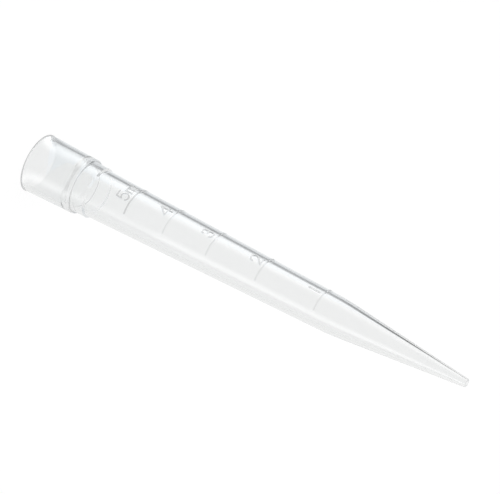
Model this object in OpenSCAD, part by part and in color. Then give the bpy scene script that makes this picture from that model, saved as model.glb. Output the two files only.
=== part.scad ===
// A clear 5 ml pipette tip, moulded in one piece.
// It stands on its hub: the origin is the centre of the hub's mouth, and +Z runs along the axis to the orifice.
// The middle of the scale faces -Y.

/* [Hub] */
// Diameter of the socket that takes the pipette's nose cone
socket_d = 13.8; // [13.4:0.1:16]
// Depth of the socket, from the mouth to the start of its conical floor
socket_depth = 12.2; // [8:0.2:20]
// Length of the conical floor that narrows the socket to the body's bore
seat_l = 1.4; // [0.6:0.1:1.8]
// Radius on both edges of the conical floor
seat_edge = 0.3; // [0.1:0.1:1.5]
// Wall of the hub at its mouth
hub_wall = 1.1; // [0.9:0.05:1.6]
// How much the hub's outer radius shrinks from the mouth to the ledge
hub_draft = 0.3; // [0:0.05:0.4]
// Distance from the socket's full depth to the ledge that rests in a rack
web = 2.9; // [1.9:0.1:4]
// Width of the bevel round the mouth, which guides the nose cone in
lead_in = 0.35; // [0.1:0.05:0.45]
// Depth of the bevel round the mouth
lead_in_depth = 0.5; // [0.2:0.1:1.5]

/* [Neck] */
// Length of the thicker band below the ledge
neck_l = 4.3; // [1.5:0.1:8]
// How far the band stands out from the body
neck_step = 0.45; // [0.1:0.05:0.5]

/* [Body] */
// Outer diameter of the body where it leaves the neck
body_d = 13.15; // [12:0.05:13.3]
// Length of the body, from the neck to the knee
body_l = 74; // [55:0.5:90]
// Outer diameter at the knee, where the taper steepens
knee_d = 10; // [7.5:0.1:11]
// Radius that softens the knee
knee_round = 75; // [5:1:150]
// Wall of the body
body_wall = 1.03; // [0.6:0.01:1.2]

/* [Cone] */
// Length of the cone, from the knee to the orifice
cone_l = 38; // [20:0.5:55]
// Outer diameter of the cone's end
end_d = 2.25; // [1.8:0.05:3.5]
// Wall at the orifice
end_wall = 0.45; // [0.25:0.05:0.6]

/* [Edges] */
// Radius on the outer edges of the hub
hub_edge = 0.25; // [0.05:0.05:0.3]
// Radius in the corner between the ledge and the neck, and where the neck meets the body
neck_edge = 0.12; // [0.05:0.01:0.3]
// Radius on the rim of the orifice
end_edge = 0.1; // [0.02:0.01:0.15]

/* [Scale] */
// Volume held below the highest line, in millilitres
scale_ml = 5; // [1:1:6]
// Volume between two lines, in millilitres
scale_step = 1; // [0.5:0.5:2]
// Width of a line along the axis
line_w = 0.5; // [0.3:0.05:1]
// How far a line stands out from the wall
line_h = 0.12; // [0.08:0.02:0.4]
// Angle that a line spans round the body
line_arc = 110; // [40:5:340]

/* [Hidden] */
$fn = 96;

// Straight pieces in each rounded corner
ARC_STEPS = 8;
// Depth that a line's root reaches into the wall
ROOT = 0.2;
// Slope of a line's flanks, as a share of its height
FLANK = 0.5;
// Direction in which the middle of the scale faces
SCALE_FACES = -90;

socket_r = socket_d / 2;
mouth_r = socket_r + hub_wall;
hub_end_r = mouth_r - hub_draft;
body_r = body_d / 2;
neck_r = body_r + neck_step;
knee_r = knee_d / 2;
end_r = end_d / 2;

// Heights from the mouth
ledge_z = socket_depth + web;
body_z = ledge_z + neck_l;
knee_z = body_z + body_l;
end_z = knee_z + cone_l;

// Radii of the bore, a wall inside the outer form
body_bore_r = body_r - body_wall;
knee_bore_r = knee_r - body_wall;
end_bore_r = end_r - end_wall;
body_slope = (body_bore_r - knee_bore_r) / body_l;
cone_slope = (knee_bore_r - end_bore_r) / cone_l;
seat_z = socket_depth + seat_l;
seat_r = body_bore_r + body_slope * (body_z - seat_z);

function unit(v) = v / norm(v);
function flat(p) = [p[0], p[1]];

// Corner b between a and c, each [radius, height, rounding]: an arc held within its two sides, or the bare point.
function rounded_corner(a, b, c) =
    b[2] == 0 ? [flat(b)] :
    let (
        back = flat(a) - flat(b),
        ahead = flat(c) - flat(b),
        half = acos(unit(back) * unit(ahead)) / 2,
        tangent = min(b[2] / tan(half), norm(back) / 2, norm(ahead) / 2),
        from = flat(b) + unit(back) * tangent,
        to = flat(b) + unit(ahead) * tangent,
        centre = flat(b) + unit(unit(back) + unit(ahead)) * tangent / cos(half),
        radius = norm(from - centre),
        turn = 180 - 2 * half
    )
    [for (i = [0 : ARC_STEPS])
        let (
            t = turn * i / ARC_STEPS,
            along = (sin(turn - t) * (from - centre) + sin(t) * (to - centre)) / sin(turn)
        )
        centre + radius * unit(along)
    ];

// Outline with each corner rounded by its own radius
function rounded(corners) =
    let (n = len(corners))
    [for (i = [0 : n - 1])
        each rounded_corner(corners[(i + n - 1) % n], corners[i], corners[(i + 1) % n])
    ];

// Volume in a cone frustum that starts at radius r and widens by slope, over height h
function frustum(r, slope, h) = PI * h * (3 * r * r + 3 * r * slope * h + pow(slope * h, 2)) / 3;

// Height at which such a frustum holds a volume
function frustum_height(r, slope, volume) =
    (pow(3 * slope * volume / PI + pow(r, 3), 1 / 3) - r) / slope;

// Height from the mouth at which the tip holds ml millilitres above its orifice, with the orifice down
function level_z(ml) =
    let (
        volume = ml * 1000,
        cone_volume = frustum(end_bore_r, cone_slope, cone_l)
    )
    volume <= cone_volume
        ? end_z - frustum_height(end_bore_r, cone_slope, volume)
        : knee_z - frustum_height(knee_bore_r, body_slope, volume - cone_volume);

// Outer radius of the body and cone at height z
function outer_r(z) =
    z < knee_z
        ? body_r + (knee_r - body_r) * (z - body_z) / body_l
        : knee_r + (end_r - knee_r) * (z - knee_z) / cone_l;

// Section of the wall, from the mouth's rim up the outside to the orifice and back down the bore
module shell() {
    rotate_extrude()
        polygon(rounded([
            [mouth_r, 0, hub_edge],
            [hub_end_r, ledge_z, hub_edge],
            [neck_r, ledge_z, neck_edge],
            [neck_r, body_z - neck_step, neck_edge],
            [body_r, body_z, neck_edge],
            [knee_r, knee_z, knee_round],
            [end_r, end_z, end_edge],
            [end_bore_r, end_z, 0],
            [knee_bore_r, knee_z, knee_round],
            [seat_r, seat_z, seat_edge],
            [socket_r, socket_depth, seat_edge],
            [socket_r, lead_in_depth, 0],
            [socket_r + lead_in, 0, 0]
        ]));
}

// One raised line of the scale, with sloped flanks and its root in the wall
module scale_line(z) {
    low = z - line_w / 2;
    high = z + line_w / 2;
    flank = line_h * FLANK;
    rotate([0, 0, SCALE_FACES - line_arc / 2])
        rotate_extrude(angle = line_arc)
            polygon([
                [outer_r(low) - ROOT, low],
                [outer_r(low), low],
                [outer_r(low) + line_h, low + flank],
                [outer_r(high) + line_h, high - flank],
                [outer_r(high), high],
                [outer_r(high) - ROOT, high]
            ]);
}

// Lines at every step of volume that the body holds clear of the neck
module scale_lines() {
    for (ml = [scale_step : scale_step : scale_ml])
        if (level_z(ml) > body_z + line_w)
            scale_line(level_z(ml));
}

module pipette_tip() {
    color([0.86, 0.9, 0.9, 0.5])
        union() {
            shell();
            scale_lines();
        }
}

pipette_tip();
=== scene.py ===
"""Looks of the clear pipette tip: one moulded shell with a raised scale, on a white studio floor.

The shell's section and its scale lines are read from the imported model. Lengths are in metres and
angles in degrees.
"""
import math

import bmesh
import bpy
import numpy as np
from mathutils import Matrix, Vector


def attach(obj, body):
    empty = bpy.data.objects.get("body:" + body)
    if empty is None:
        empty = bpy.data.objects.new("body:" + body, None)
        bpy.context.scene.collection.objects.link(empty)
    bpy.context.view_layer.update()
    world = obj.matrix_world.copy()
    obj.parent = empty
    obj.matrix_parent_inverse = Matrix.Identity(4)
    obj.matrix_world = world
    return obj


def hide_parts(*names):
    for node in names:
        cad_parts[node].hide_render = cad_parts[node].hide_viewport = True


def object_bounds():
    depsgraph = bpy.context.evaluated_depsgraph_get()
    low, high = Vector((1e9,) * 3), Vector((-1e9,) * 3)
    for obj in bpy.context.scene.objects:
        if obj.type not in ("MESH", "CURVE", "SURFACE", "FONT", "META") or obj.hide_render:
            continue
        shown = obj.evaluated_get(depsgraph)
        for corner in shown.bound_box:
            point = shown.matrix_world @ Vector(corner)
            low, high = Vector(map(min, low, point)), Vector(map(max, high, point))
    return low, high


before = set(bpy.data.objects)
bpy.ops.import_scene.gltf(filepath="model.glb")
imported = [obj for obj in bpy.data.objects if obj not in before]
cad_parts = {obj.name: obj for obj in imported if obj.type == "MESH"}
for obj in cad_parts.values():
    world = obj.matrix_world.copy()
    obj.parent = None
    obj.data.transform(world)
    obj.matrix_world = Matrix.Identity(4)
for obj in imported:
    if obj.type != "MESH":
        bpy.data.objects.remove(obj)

MM = 0.001
NODE = "pipette_tip"
CAD_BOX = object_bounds()

# Mesh of the shell
WELD = 1e-6                     # vertices nearer than this are one
STRAIGHT = 0.25                 # a smaller turn in the section is a straight run
HOLD = 0.12 * MM                # rows this close to a corner keep the flats beside it flat
SHORT_RUN = 4 * HOLD            # a shorter run of the section gets no rows of its own
COARSE_ROW = 4 * MM
FINE_ROW = 0.11 * MM
TEXT_REACH = 36                 # the numerals lie within this angle of the scale's middle
LINE_END = 3                    # the columns are finest this far either side of the lines' ends
TEXT_COLUMN = 1.0
LINE_COLUMN = 1.8
LINE_END_COLUMN = 0.5
COARSE_COLUMN = 2.4

# Scale
SCALE_FACES = -90               # direction of the middle of the scale round +Z
LINE_WIDTH = 0.5 * MM
BODY_RADIUS = 6.62 * MM         # the body that carries the scale is slimmer than this
LINE_RELIEF = 0.1 * MM          # how far lines stand out
TEXT_RELIEF = 0.08 * MM         # how far numerals stand out
FLANK = 0.12 * MM               # width of their sloped sides
NUMERAL_HEIGHT = 3.2 * MM       # between the middles of its highest and lowest strokes
NUMERAL_GAP = 1.0 * MM          # from the middle of a numeral's foot to the middle of its line
STROKE = 0.45 * MM
LETTER_GAP = 0.21               # between two characters, as a share of their height
ARC_STEP = 15                   # angle of a straight piece of a numeral's curve, about
# Painted shade: how much darker the plastic's colour is made at raised marks and on the hub's ledge
FULL_LINE_TONE = 0.45
LINE_TONE = 0.2
FULL_TEXT_TONE = 0.5
TEXT_TONE = 0.42
LEDGE_TONE = 0.6

# View
CAMERA_AZIMUTH = 41
CAMERA_ELEVATION = 21.5
CAMERA_DISTANCE = 0.838
CAMERA_LENS = 237.6
SENSOR = 36
AXIS_DIP = 27.24                # the tip's axis falls this far below level, to the right
ORBIT_HEIGHT = 67.4 * MM        # the camera stands off this point of the tip's axis
AIM = (-0.6 * MM, 6.55 * MM)    # and looks this far right of it and above it, in the picture

# Tint of the plastic at heights, as shares of the tip's length
TINTS = {0.1: (0.922, 0.930, 0.929), 0.16: (0.9505, 0.957, 0.9565), 0.8: (0.957, 0.961, 0.96)}

# Studio
FLOOR_HALF = 6.0
WHITE_IN_PLASTIC = 0.94         # brightness of floor and room to rays that the plastic sends on
FLOOR_COLOUR = 0.8              # as it lights the tip
SHADOW_SHARE = 0.08             # part of the floor's white that a shadow can take away
LIT_WHITE = 0.75                # brightness of a white floor under the lamp and the room, about
CONTACT_RADIUS = 7.7 * MM       # middle of a painted contact shadow, a dark ring on the floor under the hub's rim
CONTACT_REACH = 0.4 * MM        # half the ring's width
CONTACT_SHADE = 0.5             # how much darker that painted shadow makes the floor
ROOM_LIGHT = 0.7                # brightness of the room as it lights the floor
LIGHT_TURNS = 96                # light runs along inside the wall and takes many turns before it leaves

# Cards, which only the clear plastic shows: glowing and dark sheets that paint highlights, reflections
# and dark lines into it. Their directions are counted from AWAY
AWAY = 90 + CAMERA_AZIMUTH      # straight away from the camera
CARD_LIFT = 0.2 * MM            # the part of a card that lies on the floor is this high
CARD_TOP = 135 * MM

# Edge cards, which paint shade inside the tip's edges: brightness at places across them, as shares of
# the tip's radius
DARK_CARD = {-0.7: 0.9, 0.0: 0.86, 0.3: 0.84, 0.55: 0.8, 0.64: 0.76,
             0.7: 0.6, 0.8: 0.49, 1.0: 0.45, 2.2: 0.45, 2.3: 0.9}
PALE_CARD = {-0.7: 0.9, 0.0: 0.89, 0.3: 0.89, 0.64: 0.9,
             0.85: 0.89, 1.0: 0.88, 2.2: 0.88, 2.3: 0.93}
WHITE = (1, 1, 1)
# tint of the painted dark line
DARK_COLOUR = (0.975, 1, 1.025)
EDGE_CARD_TURN = 38
EDGE_CARD_START = 4 * MM        # it lies on the floor from this far behind the axis
EDGE_CARD_DISTANCE = 14.5 * MM  # and stands up this far behind it
EDGE_CARD_LOW = 2 * MM          # height of the lowest row of the part that stands
EDGE_CARD_FLAT_ROWS = 8
EDGE_CARD_ROWS = 60
LEAVES = 3 * MM                 # a ray leaves the tip about this far beyond its axis
# Rough outer radius of the tip at heights, which the edge cards follow
TIP_OUTLINE = {0: 0.008, 0.0154: 0.0077, 0.0194: 0.0066, 0.0934: 0.005, 0.1314: 0.0011}
# The dark card's dark part is what is less bright than this
DARK_BELOW = 0.7
# Where across the card it starts: on the body, and at heights of the cone
BODY_START = 0.68
DARK_START = {0.09: BODY_START, 0.0965: 0.62, 0.105: 0.42, 0.113: 0.12, 0.1314: 0.02}
# How bright it is at heights, as a share of what DARK_CARD says
DARK_GAIN = {0.0002: 1.4, 0.0012: 0.95, 0.011: 0.95, 0.0125: 1.2, 0.0145: 1.2, 0.0165: 0.9,
             0.09: 0.9, 0.0965: 0.65, 0.105: 0.45, 0.113: 0.15, 0.1314: 0.0}

# Strips, glowing cards that paint highlights on the plastic: brightness at equal steps along them, and
# how much of what is over 1 is left at heights
UPPER_SPREAD = (84, 142)
UPPER_STRIP = [1, 2.0, 3.6, 4.2, 3.6, 2.0, 1]
UPPER_GAIN = {0.045: 1, 0.085: 0.85, 0.1: 0.6}
LOWER_SPREAD = (-157, -112)
LOWER_STRIP = [1, 2.0, 3.3, 3.3, 1.8, 1]
LOWER_GAIN = {0.012: 1, 0.016: 0.5, 0.034: 0.5, 0.04: 1}
STRIP_RADIUS = 16 * MM
STRIP_FOOT = 8.5 * MM           # a strip lies on the floor from this radius outward
STRIP_STEPS = 8                 # faces of the strip between two brightnesses
STRIP_ROWS = 50

# Horizon, a card that paints shade into plastic that bends light up: brightness at heights
HORIZON = {0.06: 0.94, 0.12: 0.8, 0.22: 0.8, 0.26: 0.94}
HORIZON_SPREAD = (-75, 35)
HORIZON_RADIUS = 500 * MM
HORIZON_FOOT = 1 * MM
HORIZON_ROWS = 14
HORIZON_COLUMNS = 23


def at(table, place):
    """Value of a table of places and values at one place or more, straight between its entries."""
    return np.interp(place, list(table), list(table.values()))


# ---------------------------------------------------------------- section of the wall


def cut_loop(node):
    """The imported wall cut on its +Y side, clear of the scale: a closed loop of (radius, height)."""
    bm = bmesh.new()
    bm.from_mesh(node.data)
    bmesh.ops.remove_doubles(bm, verts=bm.verts, dist=WELD)
    everything = [*bm.verts, *bm.edges, *bm.faces]
    cut = bmesh.ops.bisect_plane(bm, geom=everything, plane_co=(0, 0, 0), plane_no=(1, 0, 0), dist=WELD)
    beside = {}
    for edge in cut["geom_cut"]:
        if isinstance(edge, bmesh.types.BMEdge) and edge.verts[0].co.y > 0:
            a, b = edge.verts
            beside.setdefault(a, []).append(b)
            beside.setdefault(b, []).append(a)
    start = min(beside, key=lambda v: (round(v.co.z / WELD), -v.co.y))
    loop, last, here = [], None, start
    while not loop or here is not start:
        loop.append((here.co.y, here.co.z))
        ways = [v for v in beside[here] if v is not last]
        last, here = here, max(ways, key=lambda v: v.co.z) if len(loop) == 1 else ways[0]
    bm.free()
    return loop


def without_straight_points(loop):
    """The loop without the points at which it hardly turns."""
    kept = []
    for i, here in enumerate(loop):
        back = Vector(here) - Vector(loop[i - 1])
        ahead = Vector(loop[(i + 1) % len(loop)]) - Vector(here)
        if math.degrees(back.angle(ahead)) > STRAIGHT:
            kept.append(here)
    return kept


def scale_lines(node, wall_radius):
    """Heights of the raised lines and the angle that they reach either side of the scale's middle.

    wall_radius maps heights of the body to its outer radius without the lines.
    """
    middle = math.radians(SCALE_FACES)
    proud = []
    for x, y, z in (vertex.co for vertex in node.data.vertices):
        on_body = z > min(wall_radius)
        if on_body and math.hypot(x, y) > at(wall_radius, z) + LINE_RELIEF / 2:
            side = math.atan2(y, x) - middle
            proud.append((z, abs(math.degrees(math.remainder(side, math.tau)))))
    proud.sort()
    groups = [[proud[0]]]
    for point in proud[1:]:
        if point[0] - groups[-1][-1][0] > LINE_WIDTH:
            groups.append([])
        groups[-1].append(point)
    heights = [(group[0][0] + group[-1][0]) / 2 for group in groups]
    return heights, max(reach for _, reach in proud)


# ---------------------------------------------------------------- numerals


def arc(centre, radius, start, end, squash=1.0):
    """Points along an arc, from start to end degrees."""
    steps = max(4, round(abs(end - start) / ARC_STEP))
    return [(centre[0] + radius * math.cos(math.radians(a)),
             centre[1] + radius * squash * math.sin(math.radians(a)))
            for a in np.linspace(start, end, steps + 1)]


# Each character as (width, strokes), with its height as 1 and its foot at 0
CHARACTERS = {
    "1": (0.08, [[(0.04, 0.0), (0.04, 1.0)]]),
    "2": (0.66, [arc((0.32, 0.69), 0.31, 175, -35) + [(0.0, 0.0), (0.66, 0.0)]]),
    "3": (0.6, [arc((0.3, 0.765), 0.235, 165, -90) + arc((0.28, 0.27), 0.29, 88, -165, 0.93)]),
    "4": (0.8, [[(0.6, 0.0), (0.6, 1.0), (0.0, 0.34), (0.8, 0.34)]]),
    "5": (0.6, [[(0.56, 1.0), (0.06, 1.0), (0.02, 0.53)] + arc((0.27, 0.32), 0.32, 138, -150)]),
    "m": (0.78, [[(0.0, 0.0), (0.0, 0.62)],
                 arc((0.195, 0.425), 0.195, 180, 0) + [(0.39, 0.0)],
                 arc((0.585, 0.425), 0.195, 180, 0) + [(0.78, 0.0)]]),
    "l": (0.02, [[(0.01, 0.0), (0.01, 1.0)]]),
}


def strokes_of(text):
    """All the strokes of a text centred on 0, as arrays of points in metres."""
    widths = [CHARACTERS[c][0] for c in text]
    left = -(sum(widths) + LETTER_GAP * (len(text) - 1)) / 2
    strokes = []
    for character, width in zip(text, widths):
        for points in CHARACTERS[character][1]:
            strokes.append((np.array(points) + (left, 0)) * NUMERAL_HEIGHT)
        left += width + LETTER_GAP
    return strokes


def distance_to(stroke, x, y):
    """Distance of each point (x, y) from a stroke."""
    nearest = np.full(x.shape, np.inf)
    for (ax, ay), (bx, by) in zip(stroke[:-1], stroke[1:]):
        along = ((x - ax) * (bx - ax) + (y - ay) * (by - ay)) / ((bx - ax) ** 2 + (by - ay) ** 2)
        along = np.clip(along, 0, 1)
        nearest = np.minimum(nearest, np.hypot(x - ax - along * (bx - ax), y - ay - along * (by - ay)))
    return nearest


def ridge(distance, width):
    """Height of a raised stroke, from 0 to 1, at that distance from its middle, with soft flanks."""
    slope = np.clip((width / 2 - distance) / FLANK + 0.5, 0, 1)
    return slope * slope * (3 - 2 * slope)


# ---------------------------------------------------------------- the shell


def row_heights(low, high, dense):
    """Heights from low up to high, fine in the dense ranges and coarse between them."""
    marks = sorted({low, high, *(min(max(z, low), high) for span in dense for z in span)})
    rows = [low]
    for a, b in zip(marks[:-1], marks[1:]):
        fine = any(span[0] <= (a + b) / 2 <= span[1] for span in dense)
        count = max(1, math.ceil((b - a) / (FINE_ROW if fine else COARSE_ROW) - WELD))
        rows += list(np.linspace(a, b, count + 1)[1:])
    return rows


def level(a, b):
    """Whether two points of the section are equally high."""
    return abs(a[1] - b[1]) < WELD


def run_of_rows(start, end, dense):
    """Points along a straight run of the section, without its end."""
    start, end = Vector(start), Vector(end)
    length = (end - start).length
    if length < SHORT_RUN:
        return [tuple(start)]
    shares = [0, HOLD / length, 1 - HOLD / length]
    rise = end.y - start.y
    if dense and rise > 0:
        inner = row_heights(start.y + rise * shares[1], start.y + rise * shares[2], dense)
        shares = [0, *((z - start.y) / rise for z in inner)]
    else:
        count = max(1, math.ceil(length / COARSE_ROW))
        shares = [0, *np.linspace(shares[1], shares[2], count + 1)]
    return [tuple(start.lerp(end, s)) for s in shares]


def columns(reach):
    """Angles round the shell from the middle of the scale, fine at the numerals and the lines' ends."""
    stops = {TEXT_REACH: TEXT_COLUMN, reach - LINE_END: LINE_COLUMN,
             reach + LINE_END: LINE_END_COLUMN, 180: COARSE_COLUMN}
    half = [0.0]
    for stop, step in stops.items():
        last = half[-1]
        half += list(np.linspace(last, stop, math.ceil((stop - last) / step) + 1)[1:])
    return np.array([-a for a in half[:0:-1]][1:] + half)


def relief(angles, radii, heights, lines, reach):
    """How far each point of the outside stands proud, and how much painted shade darkens its colour.

    The rows of points have radii and heights, and the columns have angles.
    """
    side = np.radians(angles)[None, :] * radii[:, None]
    height = heights[:, None] + 0 * side
    proud = np.zeros_like(side)
    painted_shade = np.zeros_like(side)
    for number, line_z in enumerate(reversed(lines), start=1):
        full = number == len(lines)
        past_end = np.radians(np.abs(angles) - reach)[None, :] * radii[:, None]
        off_line = np.hypot(np.maximum(past_end, 0), height - line_z)
        line = ridge(off_line, LINE_WIDTH)
        proud = np.maximum(proud, line * LINE_RELIEF)
        painted_shade = np.maximum(painted_shade, line * (FULL_LINE_TONE if full else LINE_TONE))
        foot = line_z - NUMERAL_GAP
        near = (heights > foot - NUMERAL_HEIGHT - STROKE) & (heights < foot + STROKE)
        for stroke in strokes_of(f"{number}ml" if full else str(number)):
            drawn = ridge(distance_to(stroke, -side[near], foot - height[near]), STROKE)
            proud[near] = np.maximum(proud[near], drawn * TEXT_RELIEF)
            painted_shade[near] = np.maximum(painted_shade[near], drawn * (FULL_TEXT_TONE if full else TEXT_TONE))
    return proud, painted_shade


def shell_mesh(node):
    """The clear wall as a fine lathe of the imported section, with the scale raised on it."""
    section = without_straight_points(cut_loop(node))
    top = max(range(len(section)), key=lambda i: (section[i][1], section[i][0]))
    wall_radius = {z: r for r, z in section[: top + 1] if r < BODY_RADIUS}
    lines, reach = scale_lines(node, wall_radius)
    dense = [(z - NUMERAL_GAP - NUMERAL_HEIGHT - STROKE, z + LINE_WIDTH) for z in lines]
    rows, edges, proud_rows = [], [], 0
    for i, point in enumerate(section):
        ahead = section[(i + 1) % len(section)]
        run = run_of_rows(point, ahead, dense if i < top else None)
        rows += run
        beside_flat = level(point, ahead) or level(section[i - 1], point)
        on_ledge = beside_flat and 0 < i < top and point[1] > HOLD
        # painted shade along the hub's ledge, carried in the plastic's colour
        edges += [LEDGE_TONE if on_ledge else 0] + [0] * (len(run) - 1)
        if i + 1 == top:
            proud_rows = len(rows)
    radii, heights = (np.array(column) for column in zip(*rows))
    angles = columns(reach)
    proud = np.zeros((len(rows), len(angles)))
    painted_shade = np.array(edges)[:, None] + proud
    outer = slice(0, proud_rows)
    proud[outer], marked = relief(angles, radii[outer], heights[outer], lines, reach)
    painted_shade[outer] = np.maximum(painted_shade[outer], marked)
    radius = radii[:, None] + proud
    around = np.radians(angles + SCALE_FACES)[None, :]
    height = heights[:, None] + 0 * radius
    points = np.stack([radius * np.cos(around), radius * np.sin(around), height], -1)
    index = np.arange(radius.size).reshape(radius.shape)
    right, up = np.roll(index, -1, 1), np.roll(index, -1, 0)
    faces = np.stack([index, right, np.roll(up, -1, 1), up], -1)
    mesh = bpy.data.meshes.new("clear_tip")
    mesh.from_pydata(points.reshape(-1, 3).tolist(), [], faces.reshape(-1, 4).tolist())
    mesh.polygons.foreach_set("use_smooth", [True] * len(mesh.polygons))
    # painted shade at the raised marks and along the ledge, which the material reads
    mesh.attributes.new("painted_shade", "FLOAT", "POINT").data.foreach_set("value", painted_shade.ravel())
    mesh.validate()
    mesh.update()
    return mesh


# ---------------------------------------------------------------- nodes and objects


def grey(value):
    return value, value, value, 1


def calculate(tree, operation, *values):
    """Result of a new Math node. Each value is a number or what another node puts out."""
    node = tree.nodes.new("ShaderNodeMath")
    node.operation = operation
    for socket, value in zip(node.inputs, values):
        if isinstance(value, bpy.types.NodeSocket):
            tree.links.new(value, socket)
        else:
            socket.default_value = value
    return node.outputs["Value"]


def empty_material(name):
    material = bpy.data.materials.new(name)
    material.use_nodes = True
    material.node_tree.nodes.clear()
    return material


def add_object(name, mesh, material):
    thing = bpy.data.objects.new(name, mesh)
    bpy.context.collection.objects.link(thing)
    mesh.materials.append(material)
    return thing


# ---------------------------------------------------------------- the tip


def clear_plastic():
    """Clear polypropylene, a little grey, with a trace of haze and faint waves along the flow."""
    material = bpy.data.materials.new("clear_polypropylene")
    material.use_nodes = True
    tree = material.node_tree
    nodes, links = tree.nodes, tree.links
    shader = nodes["Principled BSDF"]
    shader.inputs["IOR"].default_value = 1.49
    shader.inputs["Transmission Weight"].default_value = 1.0
    place = nodes.new("ShaderNodeTexCoord")
    stretch = nodes.new("ShaderNodeMapping")
    stretch.inputs["Scale"].default_value = (1, 1, 0.15)
    links.new(place.outputs["Object"], stretch.inputs["Vector"])

    waves = nodes.new("ShaderNodeTexNoise")
    waves.inputs["Scale"].default_value = 260
    waves.inputs["Detail"].default_value = 2
    links.new(stretch.outputs["Vector"], waves.inputs["Vector"])
    bump = nodes.new("ShaderNodeBump")
    bump.inputs["Strength"].default_value = 0.12
    bump.inputs["Distance"].default_value = 0.00005
    links.new(waves.outputs["Fac"], bump.inputs["Height"])
    links.new(bump.outputs["Normal"], shader.inputs["Normal"])

    haze = nodes.new("ShaderNodeTexNoise")
    haze.inputs["Scale"].default_value = 900
    haze.inputs["Detail"].default_value = 4
    links.new(place.outputs["Object"], haze.inputs["Vector"])
    rough = nodes.new("ShaderNodeMapRange")
    rough.inputs["To Min"].default_value = 0.03
    rough.inputs["To Max"].default_value = 0.09
    links.new(haze.outputs["Fac"], rough.inputs["Value"])
    links.new(rough.outputs["Result"], shader.inputs["Roughness"])

    height = nodes.new("ShaderNodeSeparateXYZ")
    links.new(place.outputs["Object"], height.inputs["Vector"])
    tint = nodes.new("ShaderNodeValToRGB")
    steps = tint.color_ramp.elements
    steps.remove(steps[1])
    steps[0].position = min(TINTS)
    for share in sorted(TINTS)[1:]:
        steps.new(share)
    for step, colour in zip(steps, TINTS.values()):
        step.color = (*colour, 1)
    length = CAD_BOX[1][2]
    links.new(calculate(tree, "DIVIDE", height.outputs["Z"], length), tint.inputs["Fac"])

    mottle = nodes.new("ShaderNodeMix")
    mottle.data_type = "RGBA"
    mottle.blend_type = "MULTIPLY"
    mottle.inputs["B"].default_value = grey(0.985)
    links.new(waves.outputs["Fac"], mottle.inputs["Factor"])
    links.new(tint.outputs["Color"], mottle.inputs["A"])

    # Painted shade: the colour is darkened at the raised marks and along the hub's ledge
    mark = nodes.new("ShaderNodeAttribute")
    mark.attribute_name = "painted_shade"
    painted_shade_mix = nodes.new("ShaderNodeMix")
    painted_shade_mix.data_type = "RGBA"
    painted_shade_mix.inputs["B"].default_value = grey(0)
    links.new(mark.outputs["Fac"], painted_shade_mix.inputs["Factor"])
    links.new(mottle.outputs["Result"], painted_shade_mix.inputs["A"])
    links.new(painted_shade_mix.outputs["Result"], shader.inputs["Base Color"])
    return material


def make_tip():
    tip = add_object("clear_tip", shell_mesh(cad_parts[NODE]), clear_plastic())
    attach(tip, "root")
    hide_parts(NODE)


# ---------------------------------------------------------------- studio


def white_level(tree):
    """How white the room is: to the camera, and to rays that clear plastic reflects or lets through."""
    path = tree.nodes.new("ShaderNodeLightPath").outputs
    by_plastic = calculate(tree, "MAXIMUM", path["Is Glossy Ray"], path["Is Transmission Ray"])
    return calculate(tree, "MULTIPLY_ADD", by_plastic, WHITE_IN_PLASTIC, path["Is Camera Ray"])


def make_floor():
    """A white floor. Seen directly it is white, less what the tip's shadow takes and a painted contact
    shadow under the hub's rim.
    """
    material = empty_material("white_floor")
    tree = material.node_tree
    nodes, links = tree.nodes, tree.links
    white = white_level(tree)
    plain = nodes.new("ShaderNodeBsdfDiffuse")
    plain.inputs["Color"].default_value = grey(FLOOR_COLOUR)
    shaded = nodes.new("ShaderNodeBsdfDiffuse")
    shaded.inputs["Color"].default_value = grey(SHADOW_SHARE)
    place = nodes.new("ShaderNodeNewGeometry")
    distance = nodes.new("ShaderNodeVectorMath")
    distance.operation = "LENGTH"
    links.new(place.outputs["Position"], distance.inputs[0])
    # painted contact shadow: the floor's glow is dimmed in a ring under the hub's rim
    contact = calculate(tree, "COMPARE", distance.outputs["Value"], CONTACT_RADIUS, CONTACT_REACH)
    clear = calculate(tree, "MULTIPLY_ADD", contact, -CONTACT_SHADE, 1)
    rest = calculate(tree, "SUBTRACT", white, SHADOW_SHARE * LIT_WHITE)
    glow = nodes.new("ShaderNodeEmission")
    links.new(calculate(tree, "MULTIPLY", rest, clear), glow.inputs["Strength"])
    both = nodes.new("ShaderNodeAddShader")
    links.new(shaded.outputs["BSDF"], both.inputs[0])
    links.new(glow.outputs["Emission"], both.inputs[1])
    mix = nodes.new("ShaderNodeMixShader")
    links.new(calculate(tree, "GREATER_THAN", white, 0), mix.inputs["Fac"])
    links.new(plain.outputs["BSDF"], mix.inputs[1])
    links.new(both.outputs["Shader"], mix.inputs[2])
    out = nodes.new("ShaderNodeOutputMaterial")
    links.new(mix.outputs["Shader"], out.inputs["Surface"])

    mesh = bpy.data.meshes.new("floor")
    corners = [(x * FLOOR_HALF, y * FLOOR_HALF, 0) for x, y in ((-1, -1), (1, -1), (1, 1), (-1, 1))]
    mesh.from_pydata(corners, [], [(0, 1, 2, 3)])
    floor = add_object("floor", mesh, material)


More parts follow.
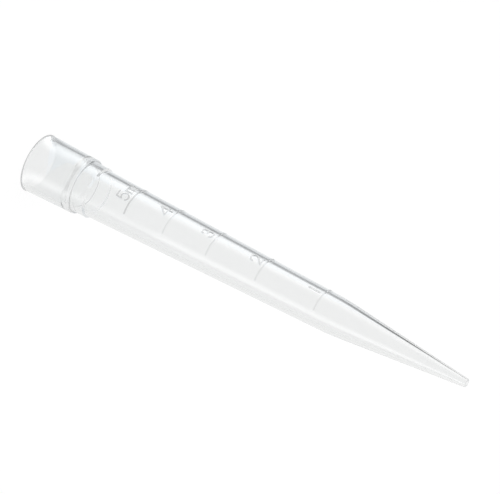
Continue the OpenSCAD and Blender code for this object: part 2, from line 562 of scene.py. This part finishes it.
def card_material(name, colour, straight):
    """Light as bright as the card's shade.

    Where straight is off, only rays that were reflected in the wall on their way find that shade.
    The others find the card as white as the room, so it does not show through the tip as a patch.
    """
    material = empty_material(name)
    tree = material.node_tree
    nodes, links = tree.nodes, tree.links
    read = nodes.new("ShaderNodeAttribute")
    read.attribute_name = "shade"
    shade = read.outputs["Fac"]
    if not straight:
        path = nodes.new("ShaderNodeLightPath")
        reflected = calculate(tree, "GREATER_THAN", path.outputs["Glossy Depth"], 0)
        pick = nodes.new("ShaderNodeMix")
        pick.inputs["A"].default_value = WHITE_IN_PLASTIC
        links.new(reflected, pick.inputs["Factor"])
        links.new(shade, pick.inputs["B"])
        shade = pick.outputs["Result"]
    glow = nodes.new("ShaderNodeEmission")
    glow.inputs["Color"].default_value = (*colour, 1)
    links.new(shade, glow.inputs["Strength"])
    out = nodes.new("ShaderNodeOutputMaterial")
    links.new(glow.outputs["Emission"], out.inputs["Surface"])
    return material


def make_card(name, points, shades, through=True, straight=True, colour=WHITE):
    """A card that only clear plastic shows, from rows of points and the brightness at each of them.

    through says whether it is seen through the plastic or only in its reflections.
    """
    rows, width = len(points), len(points[0])
    faces = [(i * width + j, i * width + j + 1, (i + 1) * width + j + 1, (i + 1) * width + j)
             for i in range(rows - 1) for j in range(width - 1)]
    mesh = bpy.data.meshes.new(name)
    mesh.from_pydata([p for row in points for p in row], [], faces)
    mesh.attributes.new("shade", "FLOAT", "POINT").data.foreach_set("value", np.ravel(shades))
    card = add_object(name, mesh, card_material(name, colour, straight))
    card.visible_camera = False
    card.visible_diffuse = False
    card.visible_shadow = False
    card.visible_transmission = through


def curved_rows(spread, count, levels):
    """Rows of points of a card that curves round the tip's axis, one row for each (radius, height)."""
    angles = np.radians(np.linspace(AWAY + spread[0], AWAY + spread[1], count))
    return [[(radius * math.cos(a), radius * math.sin(a), z) for a in angles] for radius, z in levels]


def strip_card(name, spread, shades, gains):
    """A curved glowing card round the tip, seen only in its reflections, where it paints highlights.

    shades are brightnesses along it. gains maps heights to how much of what is over 1 is left there.
    """
    count = STRIP_STEPS * (len(shades) - 1) + 1
    along = np.interp(np.linspace(0, 1, count), np.linspace(0, 1, len(shades)), shades)
    levels = [(STRIP_FOOT, CARD_LIFT)]
    levels += [(STRIP_RADIUS, z) for z in np.linspace(CARD_LIFT, CARD_TOP, STRIP_ROWS)]
    gain = at(gains, [z for _, z in levels])
    make_card(name, curved_rows(spread, count, levels), 1 + gain[:, None] * (along - 1), through=False)


def horizon_card():
    """A far, pale grey band behind the tip, seen only through plastic that bends light up, where it
    paints shade.
    """
    heights = np.linspace(HORIZON_FOOT, max(HORIZON), HORIZON_ROWS)
    points = curved_rows(HORIZON_SPREAD, HORIZON_COLUMNS, [(HORIZON_RADIUS, z) for z in heights])
    make_card("horizon", points, [[shade] * HORIZON_COLUMNS for shade in at(HORIZON, heights)])


def drawn_in(place, z):
    """A place across an edge card at height z: in the cone the dark part starts nearer the middle."""
    if place > 1:
        return place
    start = float(at(DARK_START, z))
    if place < BODY_START:
        return place * start / BODY_START
    return start + (place - BODY_START) * (1 - start) / (1 - BODY_START)


def edge_card(name, side, shades, colour):
    """A flat card behind the tip that follows its taper and draws a line of painted shade inside one
    edge of it.

    shades maps places across the card, as shares of the tip's radius, to brightnesses.
    """
    direction = math.radians(AWAY + side * EDGE_CARD_TURN)
    ahead = Vector((math.cos(direction), math.sin(direction), 0))
    across = Vector((-math.sin(direction), math.cos(direction), 0)) * side
    dip = math.tan(math.radians(CAMERA_ELEVATION))
    # Each row's distance and height, and the height at which a ray that meets it left the tip
    levels = [(reach, CARD_LIFT, (reach - LEAVES) * dip)
              for reach in np.linspace(EDGE_CARD_START, EDGE_CARD_DISTANCE, EDGE_CARD_FLAT_ROWS)]
    levels += [(EDGE_CARD_DISTANCE, z, z + (EDGE_CARD_DISTANCE - LEAVES) * dip)
               for z in np.linspace(EDGE_CARD_LOW, CARD_TOP, EDGE_CARD_ROWS)]
    points, tones = [], []
    for reach, z, seen in levels:
        radius = float(at(TIP_OUTLINE, seen))
        gain = float(at(DARK_GAIN, seen))
        middle = ahead * reach + Vector((0, 0, z))
        points.append([tuple(middle + across * drawn_in(place, seen) * radius) for place in shades])
        tones.append([shade * gain if shade < DARK_BELOW else shade for shade in shades.values()])
    make_card(name, points, tones, straight=False, colour=colour)


def make_cards():
    edge_card("dark_card", 1, DARK_CARD, DARK_COLOUR)
    edge_card("pale_card", -1, PALE_CARD, WHITE)
    horizon_card()
    strip_card("upper_strip", UPPER_SPREAD, UPPER_STRIP, UPPER_GAIN)
    strip_card("lower_strip", LOWER_SPREAD, LOWER_STRIP, LOWER_GAIN)


def make_lights():
    """A plain white room, and a large soft lamp overhead that gives the tip its shadow."""
    world = bpy.data.worlds.new("studio")
    bpy.context.scene.world = world
    world.use_nodes = True
    tree = world.node_tree
    background = tree.nodes["Background"].inputs
    background["Color"].default_value = grey(1)
    tree.links.new(calculate(tree, "MAXIMUM", white_level(tree), ROOM_LIGHT), background["Strength"])
    lamp = bpy.data.lights.new("overhead", "AREA")
    lamp.shape = "RECTANGLE"
    lamp.size = 0.8
    lamp.size_y = 0.6
    lamp.energy = 2
    overhead = bpy.data.objects.new("overhead", lamp)
    overhead.location = (-0.1, -0.2, 0.9)
    overhead.rotation_euler = overhead.location.to_track_quat("Z", "Y").to_euler()
    bpy.context.collection.objects.link(overhead)


def make_camera():
    """The photographer's view of the standing tip, rolled so that its axis falls to the right."""
    lens = bpy.data.cameras.new("camera")
    lens.lens = CAMERA_LENS
    lens.sensor_width = SENSOR
    lens.clip_start = 0.05
    lens.clip_end = 20
    camera = bpy.data.objects.new("camera", lens)
    azimuth, elevation = math.radians(CAMERA_AZIMUTH), math.radians(CAMERA_ELEVATION)
    back = Vector((math.sin(azimuth) * math.cos(elevation),
                   -math.cos(azimuth) * math.cos(elevation),
                   math.sin(elevation)))
    aside = Vector((0, 0, 1)).cross(back).normalized()
    upward = back.cross(aside)
    dip = math.radians(AXIS_DIP)
    right = upward * math.cos(dip) - aside * math.sin(dip)
    up = -upward * math.sin(dip) - aside * math.cos(dip)
    middle = Vector((0, 0, ORBIT_HEIGHT))
    place = middle + back * CAMERA_DISTANCE
    back = (place - middle - right * AIM[0] - up * AIM[1]).normalized()
    right = up.cross(back).normalized()
    up = back.cross(right)
    camera.matrix_world = Matrix.Translation(place) @ Matrix((right, up, back)).transposed().to_4x4()
    bpy.context.collection.objects.link(camera)
    bpy.context.scene.camera = camera


make_tip()
make_floor()
make_cards()
make_lights()
make_camera()
bpy.context.scene.view_settings.view_transform = "Standard"
bpy.context.scene.cycles.max_bounces = LIGHT_TURNS
bpy.context.scene.cycles.glossy_bounces = LIGHT_TURNS
bpy.context.scene.cycles.transmission_bounces = LIGHT_TURNS
